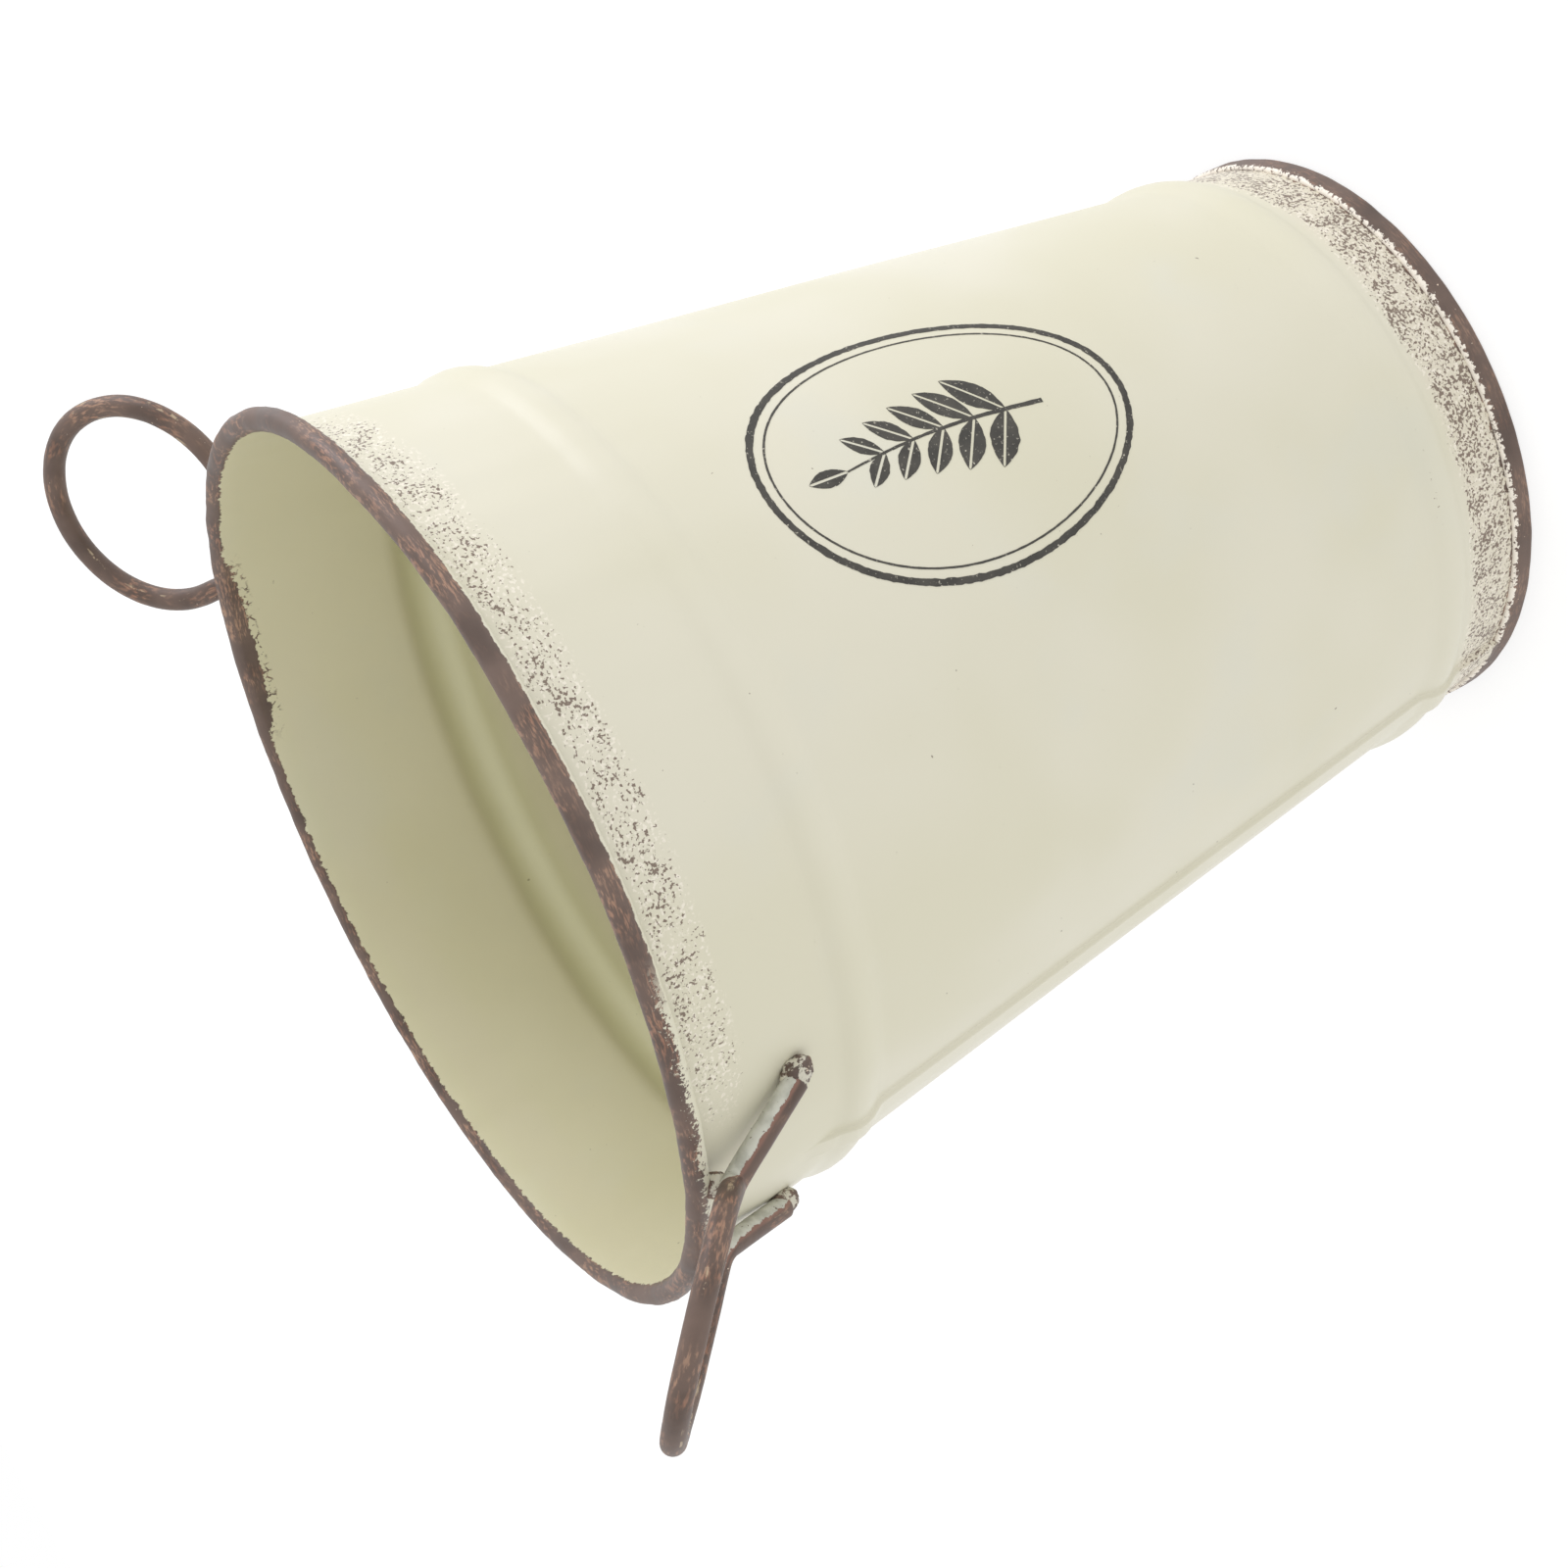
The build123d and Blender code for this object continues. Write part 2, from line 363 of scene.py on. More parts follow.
def finish_group(tree, group, inputs):
    made = tree.nodes.new("ShaderNodeGroup")
    made.node_tree = group
    for name, value in inputs.items():
        if isinstance(value, bpy.types.NodeSocket):
            tree.links.new(value, made.inputs[name])
        else:
            made.inputs[name].default_value = value
    return made.outputs


def worn_brown():
    """Dark brown paint brushed on by hand, rubbed back to copper with a few pale chips."""
    group, given, result = shader_group(
        "worn_brown", {"Place": "Vector", "Stroke": "Vector", "Copper": "Float", "Chips": "Float"},
        {"Color": "Color", "Roughness": "Float", "Height": "Float"})
    place, stroke = given.outputs["Place"], given.outputs["Stroke"]
    cloud = ramp(group, grain(group, place, 90, 3), 0.3, 0.7)
    brown = blend_colours(group, cloud, colour(0.088, 0.057, 0.044), colour(0.160, 0.108, 0.086))
    patches = ramp(group, grain(group, place, 110, 3), 0.40, 0.60)
    strokes = ramp(group, grain(group, stroke, 1700, 3, 0.6), 0.46, 0.66)
    rubbed = times(group, times(group, patches, strokes), given.outputs["Copper"])
    copper = blend_colours(group, cloud, colour(0.27, 0.130, 0.080), colour(0.40, 0.25, 0.17))
    painted = blend_colours(group, rubbed, brown, copper)
    chip_size = minus(group, 0.80, times(group, given.outputs["Chips"], 0.14))
    chip_noise = grain(group, place, 1100, 2, 0.6)
    chip = ramp(group, minus(group, chip_noise, chip_size), -0.01, 0.02)
    chip = times(group, chip, ramp(group, grain(group, place, 120, 2), 0.45, 0.60))
    painted = blend_colours(group, chip, painted, colour(0.72, 0.58, 0.44))
    streak = grain(group, stroke, 1400, 3)
    height = minus(group, times(group, streak, 0.5), chip)
    links = group.links
    links.new(painted, result.inputs["Color"])
    links.new(ramp(group, cloud, 0, 1, 0.42, 0.60), result.inputs["Roughness"])
    links.new(height, result.inputs["Height"])
    return group


def cream_enamel():
    """Cream paint over rolled steel: slightly clouded, with a faint orange peel and rare specks."""
    group, given, result = shader_group(
        "cream_enamel", {"Place": "Vector"}, {"Color": "Color", "Roughness": "Float", "Height": "Float"})
    place = given.outputs["Place"]
    warm = ramp(group, grain(group, place, 22, 2), 0.35, 0.70)
    cream = blend_colours(group, warm, colour(0.755, 0.724, 0.582), colour(0.720, 0.690, 0.528))
    cool = ramp(group, grain(group, place, 35, 3), 0.55, 0.75, 0.0, 0.5)
    cream = blend_colours(group, cool, cream, colour(0.722, 0.712, 0.602))
    speck = ramp(group, grain(group, place, 700, 1, 0.3), 0.845, 0.86)
    cream = blend_colours(group, times(group, speck, 0.8), cream, colour(0.20, 0.16, 0.12))
    peel = grain(group, place, 420, 2)
    links = group.links
    links.new(cream, result.inputs["Color"])
    links.new(ramp(group, warm, 0, 1, 0.38, 0.46), result.inputs["Roughness"])
    links.new(minus(group, times(group, peel, 0.35), speck), result.inputs["Height"])
    return group


def sponge_speckle():
    """Brown paint dabbed with a dry sponge: ragged dots that thicken where Density is high."""
    group, given, result = shader_group(
        "sponge_speckle", {"Place": "Vector", "Density": "Float"}, {"Dots": "Float", "Flecks": "Float"})
    place, density = given.outputs["Place"], given.outputs["Density"]
    clump = times(group, grain(group, place, 260, 2), 0.34)
    reach = times(group, density, 0.24)
    level = minus(group, 0.965, plus(group, clump, reach))
    dots = minus(group, grain(group, place, 1750, 3, 0.55), level)
    flecks = grain(group, add(group, "VectorMath", {0: place, 1: (0.1, 0.2, 0.3)}).outputs[0], 1500, 2)
    group.links.new(ramp(group, dots, -0.01, 0.03), result.inputs["Dots"])
    pale = times(group, ramp(group, flecks, 0.54, 0.64), ramp(group, density, 0.15, 0.6))
    group.links.new(pale, result.inputs["Flecks"])
    return group


WORN_BROWN = worn_brown()
CREAM_ENAMEL = cream_enamel()
SPONGE_SPECKLE = sponge_speckle()
SPONGE_BROWN = colour(0.130, 0.080, 0.056)
SPONGE_PALE = colour(0.86, 0.80, 0.70)
RUBBED_BROWN = colour(0.24, 0.18, 0.13)
SPONGED_AZIMUTH = 252
WORN_LIP_AZIMUTH = 15
SPLASHED_AZIMUTH = 200
BRUSH_STROKE = (0.35, 0.35, 2.0)


def bearing(tree, level, azimuth):
    """Cosine of the angle round the bucket between a place and an azimuth in degrees."""
    ahead = (math.cos(math.radians(azimuth)), math.sin(math.radians(azimuth)), 0)
    return add(tree, "VectorMath", {0: level, 1: ahead}, operation="DOT_PRODUCT").outputs["Value"]


def finished(tree, shader, painted, roughness, height, bump, depth):
    """Feeds the shader: colour, roughness, and a height for the bump."""
    relief = add(tree, "Bump", {"Height": height, "Strength": bump, "Distance": depth})
    tree.links.new(painted, shader.inputs["Base Color"])
    tree.links.new(roughness, shader.inputs["Roughness"])
    tree.links.new(relief.outputs["Normal"], shader.inputs["Normal"])


def wall_paint():
    made, tree, shader = material("wall_paint")
    shader.inputs["Specular IOR Level"].default_value = 0.5
    place = add(tree, "TexCoord").outputs["Object"]
    sheet = add(tree, "Attribute", attribute_name="sheet_place").outputs["Vector"]
    part = add(tree, "SeparateXYZ", {"Vector": sheet})
    radius, z = part.outputs["X"], part.outputs["Y"]
    outside = ramp(tree, part.outputs["Z"], 0.1, -0.1)
    level = add(tree, "VectorMath", {0: place, 1: (1, 1, 0)}, operation="MULTIPLY").outputs[0]
    level = add(tree, "VectorMath", {0: level}, operation="NORMALIZE").outputs[0]
    ragged = minus(tree, grain(tree, place, 700, 4, 0.65), 0.5)
    broad = minus(tree, grain(tree, place, 70, 2), 0.5)

    cream = finish_group(tree, CREAM_ENAMEL, {"Place": place})
    across = minus(tree, radius, bead_middle.x)
    rise = minus(tree, z, bead_middle.y)
    # Inside the sheet the cream is multiplied by a yellower, greener tone: painted bounce light, standing
    # in for light reflected round inside the bucket. Outside it gets a plain, slightly cooler multiplier.
    seen_outside = maths(tree, "MAXIMUM", outside, ramp(tree, across, 0.0, 0.0004))
    tint_with_inside_bounce = blend_colours(tree, seen_outside, colour(0.90, 0.89, 0.775), colour(0.88, 0.88, 0.885))
    painted = blend_colours(tree, 1.0, cream["Color"], tint_with_inside_bounce, "MULTIPLY")

    # Inside, the groove of the upper rib is painted darker and greener: painted shade and bounce light in
    # the hollow.
    groove_shade = maths(tree, "ABSOLUTE", minus(tree, z, RIB_HEIGHTS[1] - 0.002))
    groove_shade = times(tree, ramp(tree, groove_shade, 0.0065, 0.0030, 0.0, 0.38), part.outputs["Z"])
    painted = blend_colours(tree, maths(tree, "MAXIMUM", groove_shade, 0.0), painted, colour(0.56, 0.56, 0.30))

    # Sponging: a belt below the rim that thins out towards the handles, and one above the foot.
    facing = maths(tree, "ABSOLUTE", bearing(tree, level, SPONGED_AZIMUTH))
    off_handles = ramp(tree, facing, 0.40, 0.75)
    strayed = plus(tree, z, times(tree, broad, 0.004))
    rim_belt = times(tree, ramp(tree, strayed, 0.1758, 0.1805), ramp(tree, strayed, 0.1875, 0.1855),
                     off_handles, 0.88)
    foot_belt = times(tree, ramp(tree, strayed, 0.0160, 0.0130), ramp(tree, z, 0.0036, 0.0052), 1.1)
    density = times(tree, maths(tree, "MAXIMUM", rim_belt, foot_belt), outside)
    sponge = finish_group(tree, SPONGE_SPECKLE, {"Place": place, "Density": density})
    wash = times(tree, ramp(tree, z, 0.0165, 0.0120), outside, 0.45)
    wash = maths(tree, "MAXIMUM", wash, times(tree, rim_belt, 0.12))
    painted = blend_colours(tree, wash, painted, colour(0.68, 0.60, 0.49))
    painted = blend_colours(tree, times(tree, sponge["Flecks"], 0.6), painted, SPONGE_PALE)
    painted = blend_colours(tree, times(tree, sponge["Dots"], 0.88), painted, SPONGE_BROWN)

    # The lower rib is rubbed through in a few spots.
    crest = maths(tree, "ABSOLUTE", minus(tree, z, RIB_HEIGHTS[0] + 0.0015))
    needed = ramp(tree, crest, 0.0, 0.0022, 0.66, 0.85)
    worn = minus(tree, grain(tree, place, 1500, 3, 0.6), needed)
    rubbed = times(tree, ramp(tree, worn, 0.0, 0.02), outside, ramp(tree, broad, 0.0, 0.08))
    painted = blend_colours(tree, rubbed, painted, RUBBED_BROWN)

    # Brown over the whole curl but its underside, with a ragged edge just inside the mouth.
    from_bead = maths(tree, "SQRT", plus(tree, times(tree, across, across), times(tree, rise, rise)))
    at_patch = bearing(tree, level, WORN_LIP_AZIMUTH)
    in_patch = ramp(tree, at_patch, 0.955, 0.99)
    streak = ramp(tree, plus(tree, at_patch, times(tree, ragged, 0.03)), 0.960, 0.999)
    lip = plus(tree, times(tree, ragged, 0.0014), times(tree, broad, 0.0010), times(tree, streak, 0.0008))
    lip = maths(tree, "MAXIMUM", lip, 0.0001)
    edge = plus(tree, blend_values(tree, outside, lip, times(tree, ragged, 0.0006)), BEAD_R)
    brown_rim = ramp(tree, minus(tree, edge, from_bead), -0.00006, 0.00006)
    below = plus(tree, rise, times(tree, ragged, 0.0016))
    under = times(tree, ramp(tree, below, -0.0011, -0.0013), ramp(tree, across, 0.0, 0.0004))
    chipped = minus(tree, grain(tree, place, 1700, 3, 0.7), 0.5)
    splash = plus(tree, rise, times(tree, ragged, 0.0040), times(tree, chipped, 0.0060))
    beside_handle = ramp(tree, bearing(tree, level, SPLASHED_AZIMUTH), 0.935, 0.975)
    splash = times(tree, ramp(tree, splash, -0.0001, -0.0004), beside_handle,
                   ramp(tree, across, 0.0002, 0.0006))
    reach = plus(tree, rise, times(tree, ragged, 0.0022), times(tree, streak, 0.006))
    lip_cream = times(tree, ramp(tree, reach, 0.0006, 0.0004), ramp(tree, across, 0.0, -0.0004))
    for bare in (under, splash, lip_cream):
        brown_rim = times(tree, brown_rim, minus(tree, 1.0, bare))
    cracks = add(tree, "TexVoronoi", {"Vector": place, "Scale": 620.0}, feature="DISTANCE_TO_EDGE")
    crackle = ramp(tree, cracks.outputs["Distance"], 0.12, 0.05)
    crackle = times(tree, crackle, ramp(tree, minus(tree, from_bead, lip), 0.0034, 0.0026), in_patch,
                    ramp(tree, ragged, -0.02, 0.05), minus(tree, 1.0, outside))
    brown_foot = ramp(tree, plus(tree, z, times(tree, ragged, 0.0035)), 0.0046, 0.0043)
    brown_foot = times(tree, brown_foot, outside)
    is_brown = maths(tree, "MAXIMUM", maths(tree, "MAXIMUM", brown_rim, crackle), brown_foot)

    stroke = stretched(tree, place, BRUSH_STROKE)
    brown = finish_group(tree, WORN_BROWN, {"Place": place, "Stroke": stroke, "Copper": 1.0, "Chips": 0.15})
    painted = blend_colours(tree, is_brown, painted, brown["Color"])
    rough = blend_values(tree, is_brown, cream["Roughness"], brown["Roughness"])
    height = plus(tree, cream["Height"], times(tree, sponge["Dots"], 0.8),
                  times(tree, is_brown, brown["Height"]), times(tree, is_brown, 0.8))
    finished(tree, shader, painted, rough, height, 0.35, 0.00012)
    return made


wall_turns = turns_round(WALL_COLUMNS, LOCK_AZIMUTH, 0.075, LOCK_COLUMN_STEP)
wall = turned_sheet("wall_enamelled", wall_line, SHEET / 2, wall_turns, wall_stand_off, wall_paint())
for vertex in wall.data.vertices:
    turn = math.atan2(vertex.co.y, vertex.co.x)
    share = smooth_step(SWAY_FROM, wall_high[2], vertex.co.z)
    vertex.co.xy *= 1 + rim_sway(turn) * share / wall_high[0]
    vertex.co.z += 0.6 * rim_sway(turn + 1.0) * share
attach(wall, "root")
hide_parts("wall_sheet")


# ---- Hoop: drawn steel wire closed inside the curl of the rim ----
# Only a thread of it shows through the slot under the curl.
def drawn_wire():
    made, tree, shader = material("drawn_wire")
    shader.inputs["Metallic"].default_value = 1.0
    place = add(tree, "TexCoord").outputs["Object"]
    tarnish = ramp(tree, grain(tree, place, 160, 3), 0.35, 0.65)
    steel = blend_colours(tree, tarnish, colour(0.42, 0.41, 0.39), colour(0.20, 0.15, 0.11))
    drawn = grain(tree, stretched(tree, place, (1, 1, 6)), 900, 2)
    finished(tree, shader, steel, ramp(tree, tarnish, 0, 1, 0.35, 0.6), drawn, 0.2, 0.00003)
    return made


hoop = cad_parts["rim_wire"]
hoop.data.materials.clear()
hoop.data.materials.append(drawn_wire())


# ---- Base: a recessed steel disc ----
# Its edge runs down inside the wall and is rolled up round the wall's flange. That roll is the band
# at the foot, brushed brown, and the bucket stands on it.
RECESS = 0.0032
FIT = 0.00005
BASE_BEND = SHEET
inner_leg = floor_r + (SHEET * 1.5 + FIT) / math.tan(math.radians(wall_angle)) - SHEET - FIT
outer_leg = foot_r - SHEET / 2
wall_face_r = floor_r + foot_h / math.tan(math.radians(wall_angle)) + SHEET / 2
roll_bend = 0.6 * (outer_leg - wall_face_r)
STEP_R = 0.040
STEP_HEIGHT = 0.0008
STEP_RUN = 0.004
BASE_COLUMNS = 360
step_turn = math.degrees(2 * math.atan(STEP_HEIGHT / STEP_RUN))
step_bend = STEP_RUN / (2 * math.sin(math.radians(step_turn)))

base_line = follow(
    Vector((0.0, RECESS + SHEET / 2 + STEP_HEIGHT)), 0.0,
    [(STEP_R,), (step_bend, -step_turn), (step_bend, step_turn),
     (inner_leg - BASE_BEND - STEP_R - 0.0042,), (BASE_BEND, -90.0),
     (RECESS - 2 * BASE_BEND,), (BASE_BEND, 90.0),
     (outer_leg - inner_leg - 2 * BASE_BEND,), (BASE_BEND, 90.0),
     (foot_h - SHEET - BASE_BEND - roll_bend,), (roll_bend, 90.0),
     (outer_leg - roll_bend - wall_face_r,)], ROW_STEP)


def base_stand_off(turn, radius, z, side):
    ring = Vector((math.cos(turn), math.sin(turn), 0))
    if radius > inner_leg and side < 0:
        return 0.00010 * noise.noise(ring * 14 + Vector((0, 0, z * 300)))
    return side * 0.00015 * noise.noise(ring * radius * 60)


def close_at_axis(item):
    """Welds the columns of a turned disc where they meet in the middle."""
    mesh = bmesh.new()
    mesh.from_mesh(item.data)
    middle = [vertex for vertex in mesh.verts if vertex.co.xy.length < 1e-6]
    bmesh.ops.remove_doubles(mesh, verts=middle, dist=1e-5)
    bmesh.ops.delete(mesh, geom=[edge for edge in mesh.edges if not edge.link_faces], context="EDGES")
    mesh.to_mesh(item.data)
    mesh.free()


def base_paint():
    made, tree, shader = material("base_paint")
    place = add(tree, "TexCoord").outputs["Object"]
    part = add(tree, "SeparateXYZ", {"Vector": place})
    level = add(tree, "VectorMath", {0: place, 1: (1, 1, 0)}, operation="MULTIPLY").outputs[0]
    radius = add(tree, "VectorMath", {0: level}, operation="LENGTH").outputs["Value"]
    ragged = minus(tree, grain(tree, place, 600, 4, 0.65), 0.5)
    strayed = plus(tree, radius, times(tree, ragged, 0.002))
    cream = finish_group(tree, CREAM_ENAMEL, {"Place": place})
    dusty = blend_colours(tree, ramp(tree, grain(tree, place, 60, 4), 0.4, 0.7, 0.0, 0.35),
                          cream["Color"], colour(0.52, 0.48, 0.38))
    stroke = stretched(tree, place, BRUSH_STROKE)
    brown = finish_group(tree, WORN_BROWN,
                         {"Place": place, "Stroke": stroke, "Copper": 0.55, "Chips": 0.55})
    is_brown = ramp(tree, strayed, inner_leg - 0.0002, inner_leg + 0.0001)
    painted = blend_colours(tree, is_brown, dusty, brown["Color"])

    # Cream flecks from the wall's sponging lap over the upper edge of the roll.
    flecks = minus(tree, grain(tree, place, 1300, 3, 0.6), 0.5)
    flecked = plus(tree, part.outputs["Z"], times(tree, flecks, 0.0035))
    flecked = ramp(tree, flecked, foot_h - 0.0006, foot_h - 0.0003)
    flecked = times(tree, flecked, is_brown)
    painted = blend_colours(tree, flecked, painted, SPONGE_PALE)

    # The ring that it stands on is rubbed to bare steel.
    standing = times(tree, ramp(tree, part.outputs["Z"], 0.00035, 0.00005),
                     ramp(tree, grain(tree, place, 300, 4, 0.7), 0.42, 0.56))
    painted = blend_colours(tree, standing, painted, colour(0.33, 0.30, 0.27))
    height = plus(tree, times(tree, is_brown, brown["Height"]), cream["Height"])
    rough = blend_values(tree, is_brown, cream["Roughness"], brown["Roughness"])
    finished(tree, shader, painted, rough, height, 0.35, 0.00012)
    return made


base_turns = turns_round(BASE_COLUMNS)
base = turned_sheet("base_seamed", base_line, SHEET / 2, base_turns, base_stand_off, base_paint())
close_at_axis(base)
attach(base, "root")
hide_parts("base_plate")


# ---- Handles: one 4 mm steel wire each, bent by hand over a former ----
# A horseshoe loop leans outward, two elbows sit under the rim, and two legs splay down the wall.
# Brown is brushed on the faces that a hand meets, and cream overspray stays in the corners.
WIRE_R = 0.002
LOOP_R = 0.0192
ELBOW_HALF = 0.011
ELBOW_BEND = 0.003
NECK_RUN = 0.0045
LEG_SPLAY = 0.020
LEG_DROP = 0.0154
OVERSPRAY_REACH = 0.0245
# name: azimuth, lift, twist, and how far the elbows are outside and below the rim's bead
HANDLES = {
    "left": (180.6, 45.4, -2.8, 0.0010, 0.0046),
    "right": (1.0, 32.7, 16.8, 0.0051, 0.00335),
}
loop_reach = math.sqrt(LOOP_R ** 2 + NECK_RUN ** 2 - ELBOW_HALF ** 2)


def round_the_wall(azimuth, radius, z):
    turn = math.radians(azimuth)
    return Vector((radius * math.cos(turn), radius * math.sin(turn), z))


def wall_face(z):
    """Radius of the outside of the wall at a height, leaving out the ribs."""
    return floor_r + z / math.tan(math.radians(wall_angle)) + SHEET / 2


def handle_corners(azimuth, lift, twist, out, drop):
    """Loop end, elbow and foot on each side, with the middle, length and width of the loop."""
    outward = round_the_wall(azimuth, 1, 0)
    level = round_the_wall(azimuth + 90, 1, 0)
    along = outward * math.cos(math.radians(lift)) + Vector((0, 0, math.sin(math.radians(lift))))
    across = level * math.cos(math.radians(twist)) + along.cross(level) * math.sin(math.radians(twist))
    neck = outward * (bead_middle.x + out) + Vector((0, 0, bead_middle.y - drop))
    flare = math.atan2(LOOP_R, NECK_RUN) - math.atan2(ELBOW_HALF, loop_reach)
    foot_z = neck.z - LEG_DROP
    foot_out = wall_face(foot_z) + (WIRE_R + FIT) / math.sin(math.radians(wall_angle))
    sides = []
    for side in (1, -1):
        elbow = neck + across * (side * ELBOW_HALF)
        end = elbow + (along * math.cos(flare) + across * (side * math.sin(flare))) * NECK_RUN
        foot = round_the_wall(azimuth + side * math.degrees(LEG_SPLAY / foot_out), foot_out, foot_z)
        sides.append((end, elbow, foot))
    return sides, neck + along * loop_reach, along, across


def rounded_corner(before, corner, after, radius, count):
    """Points of the arc that rounds a corner between two straight runs."""
    back, on = (before - corner).normalized(), (after - corner).normalized()
    half = back.angle(on) / 2
    middle = corner + (back + on).normalized() * (radius / math.sin(half))
    first = corner + back * (radius / math.tan(half))
    last = corner + on * (radius / math.tan(half))
    swing = (first - middle).rotation_difference(last - middle)
    turned = [Matrix.Rotation(swing.angle * i / count, 3, swing.axis) for i in range(count + 1)]
    return [middle + turn @ (first - middle) for turn in turned]


def evenly(points, step):
    """The same line with points no further apart than a step."""
    line = [points[0]]
    for there in points[1:]:
        here = line[-1]
        count = max(1, math.ceil((there - here).length / step))
        line += [here.lerp(there, i / count) for i in range(1, count + 1)]
    return line


def handle_line(bend):
    sides, middle, along, across = handle_corners(*bend)
    (end, elbow, foot), (far_end, far_elbow, far_foot) = sides
    open_half = math.atan2((end - middle).dot(across), -(end - middle).dot(along))
    loop = []
    count = 72
    for i in range(1, count):
        swing = open_half + (2 * math.pi - 2 * open_half) * i / count
        loop.append(middle + (across * math.sin(swing) - along * math.cos(swing)) * LOOP_R)
    leg = rounded_corner(foot, elbow, end, ELBOW_BEND, 12)
    far_leg = rounded_corner(far_end, far_elbow, far_foot, ELBOW_BEND, 12)
    return evenly([foot] + leg + [end] + loop + [far_end] + far_leg + [far_foot], 0.0008)


def bent_wire(name, line, radius, seed, finish):
    """A tube along a line, with hammered flats and slightly domed cut ends."""
    vertices, faces, along_wire = [], [], []
    sides = 28
    up = Vector((0.3, 0.2, 1.0)).normalized()
    lengths = [0.0]
    for here, there in zip(line, line[1:]):
        lengths.append(lengths[-1] + (there - here).length)
    for i, point in enumerate(line):
        ahead = (line[min(i + 1, len(line) - 1)] - line[max(i - 1, 0)]).normalized()
        up = (up - ahead * up.dot(ahead)).normalized()
        right = ahead.cross(up)
        from_end = min(lengths[i], lengths[-1] - lengths[i])
        dome = math.sqrt(1 - (1 - min(1.0, (from_end + 0.00005) / 0.0007)) ** 2)
        for j in range(sides):
            turn = 2 * math.pi * j / sides
            outward = right * math.cos(turn) + up * math.sin(turn)
            dent = 0.035 * noise.noise(Vector((seed, 0, 0)) + point * 110 + outward * 0.7)
            dent += 0.015 * noise.noise(Vector((0, seed, 0)) + point * 420 + outward * 1.5)
            vertices.append(point + outward * radius * (0.985 + dent) * (0.35 + 0.65 * dome))
            along_wire.append((from_end, math.cos(turn) * radius, math.sin(turn) * radius))
    for i in range(len(line) - 1):
        for j in range(sides):
            k = (j + 1) % sides
            faces.append((i * sides + j, (i + 1) * sides + j, (i + 1) * sides + k, i * sides + k))
    faces.append(tuple(range(sides)))
    faces.append(tuple(reversed(range((len(line) - 1) * sides, len(line) * sides))))
    item = show(name, vertices, faces, finish)
    placed = item.data.attributes.new("along_wire", "FLOAT_VECTOR", "POINT")
    placed.data.foreach_set("vector", [value for row in along_wire for value in row])
    return item


def handle_paint():
    made, tree, shader = material("handle_paint")
    shader.inputs["Specular IOR Level"].default_value = 0.4
    place = add(tree, "TexCoord").outputs["Object"]
    wire = add(tree, "Attribute", attribute_name="along_wire").outputs["Vector"]
    corner = add(tree, "Attribute", attribute_name="in_corner").outputs["Fac"]
    stroke = stretched(tree, wire, (0.3, 1.0, 1.0))
    brown = finish_group(tree, WORN_BROWN, {"Place": place, "Stroke": stroke, "Copper": 1.0, "Chips": 0.5})
    ragged = minus(tree, grain(tree, place, 450, 4, 0.7), 0.5)

    # Long pale scrapes where hooks and fingers have run along the loop.
    lengthwise = stretched(tree, wire, (0.12, 1.0, 1.0))
    scrape = ramp(tree, grain(tree, lengthwise, 520, 3, 0.55), 0.61, 0.66)
    scrape = times(tree, scrape, ramp(tree, ragged, 0.0, 0.08, 0.0, 0.85))
    painted = blend_colours(tree, scrape, brown["Color"], colour(0.46, 0.36, 0.24))

    is_cream = ramp(tree, plus(tree, corner, times(tree, ragged, 0.50)), 0.60, 0.63)
    edge = times(tree, ramp(tree, corner, 0.44, 0.58), ramp(tree, corner, 0.76, 0.64))
    painted = blend_colours(tree, times(tree, edge, 0.6), painted, colour(0.30, 0.15, 0.11))
    mottle = ramp(tree, grain(tree, place, 500, 3), 0.35, 0.7)
    overspray = blend_colours(tree, mottle, colour(0.57, 0.57, 0.50), colour(0.42, 0.42, 0.36))
    scuffs = ramp(tree, grain(tree, place, 1300, 2, 0.6), 0.66, 0.70)
    overspray = blend_colours(tree, scuffs, overspray, colour(0.16, 0.13, 0.10))
    painted = blend_colours(tree, is_cream, painted, overspray)
    height = plus(tree, brown["Height"], times(tree, is_cream, 0.9))
    height = plus(tree, height, times(tree, grain(tree, place, 700, 3), 0.8))
    finished(tree, shader, painted, brown["Roughness"], height, 0.45, 0.00015)
    return made


def mark_corners(item, azimuth, reach):
    """Where cream stays: on the legs, on the side turned to the rim and to the front."""
    to_rim = (round_the_wall(azimuth, -0.5, 0.45) + Vector((0, -0.35, 0))).normalized()
    from_end = item.data.attributes["along_wire"].data
    tucked = []
    for vertex in item.data.vertices:
        fade = 1 - smooth_step(reach * 0.8, reach, from_end[vertex.index].vector.x)
        caught_more = 0.16 * smooth_step(0, 0.006, vertex.co.y)
        tucked.append((0.5 + 0.5 * vertex.normal.dot(to_rim) + caught_more) * fade)
    item.data.attributes.new("in_corner", "FLOAT", "POINT").data.foreach_set("value", tucked)


HANDLE_PAINT = handle_paint()
handle_sides = {name: handle_corners(*bend)[0] for name, bend in HANDLES.items()}
for name, bend in HANDLES.items():
    handle = bent_wire(f"handle_{name}_bent", handle_line(bend), WIRE_R, 3.1 + bend[0], HANDLE_PAINT)
    mark_corners(handle, bend[0], OVERSPRAY_REACH)
    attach(handle, "root")
    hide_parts(f"handle_{name}")


# ---- Welds: a pitted bead round each leg's tip, and solder between each elbow and the rim ----
# Both were painted over with the handles.
FOOT_WELD_R = 0.0027
FOOT_WELD_SINK = 0.0008
FOOT_WELD_STRETCH = 0.0006
RIM_WELD_HOLD = 0.0013
RIM_WELD_STRETCH = 0.0001
RIM_WELD_GAP = 0.002


